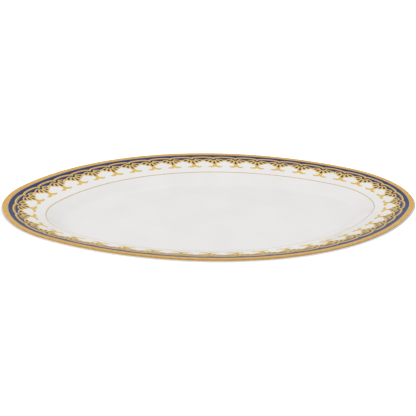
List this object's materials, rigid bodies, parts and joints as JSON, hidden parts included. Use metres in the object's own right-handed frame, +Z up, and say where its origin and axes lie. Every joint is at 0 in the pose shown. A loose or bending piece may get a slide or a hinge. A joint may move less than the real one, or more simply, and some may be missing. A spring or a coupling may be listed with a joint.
{
  "type": "serving platter",
  "caption": "Oval bone-china serving platter with a sloping rim, shallow well and foot ring, and a gold, cobalt and palmette lace border.",
  "frame": {"origin": "middle of the platter on the plane that the foot stands on", "axes": "+X along the platter's length, +Y across it, +Z up"},
  "size_m": [0.36, 0.252, 0.025],
  "materials": {
    "glazed_china": "clear glossy glaze on white bone china",
    "foot_china": "glazed sides, ground unglazed standing face",
    "etched_gold": "acid-etched satin gold with fine ribs",
    "burnished_gold": "burnished gold line",
    "cobalt": "glossy cobalt blue enamel",
    "lace_gold": "raised gold paste, soft gloss"
  },
  "bodies": {
    "root": {"china_body": "glazed_china", "foot_ring": "foot_china", "rim_gilding": "etched_gold", "edge_line": "burnished_gold", "cobalt_ground": "cobalt", "arcade": "lace_gold", "fans": "lace_gold", "leaf_feet": "lace_gold", "verge_line": "burnished_gold"}
  },
  "joints": []
}
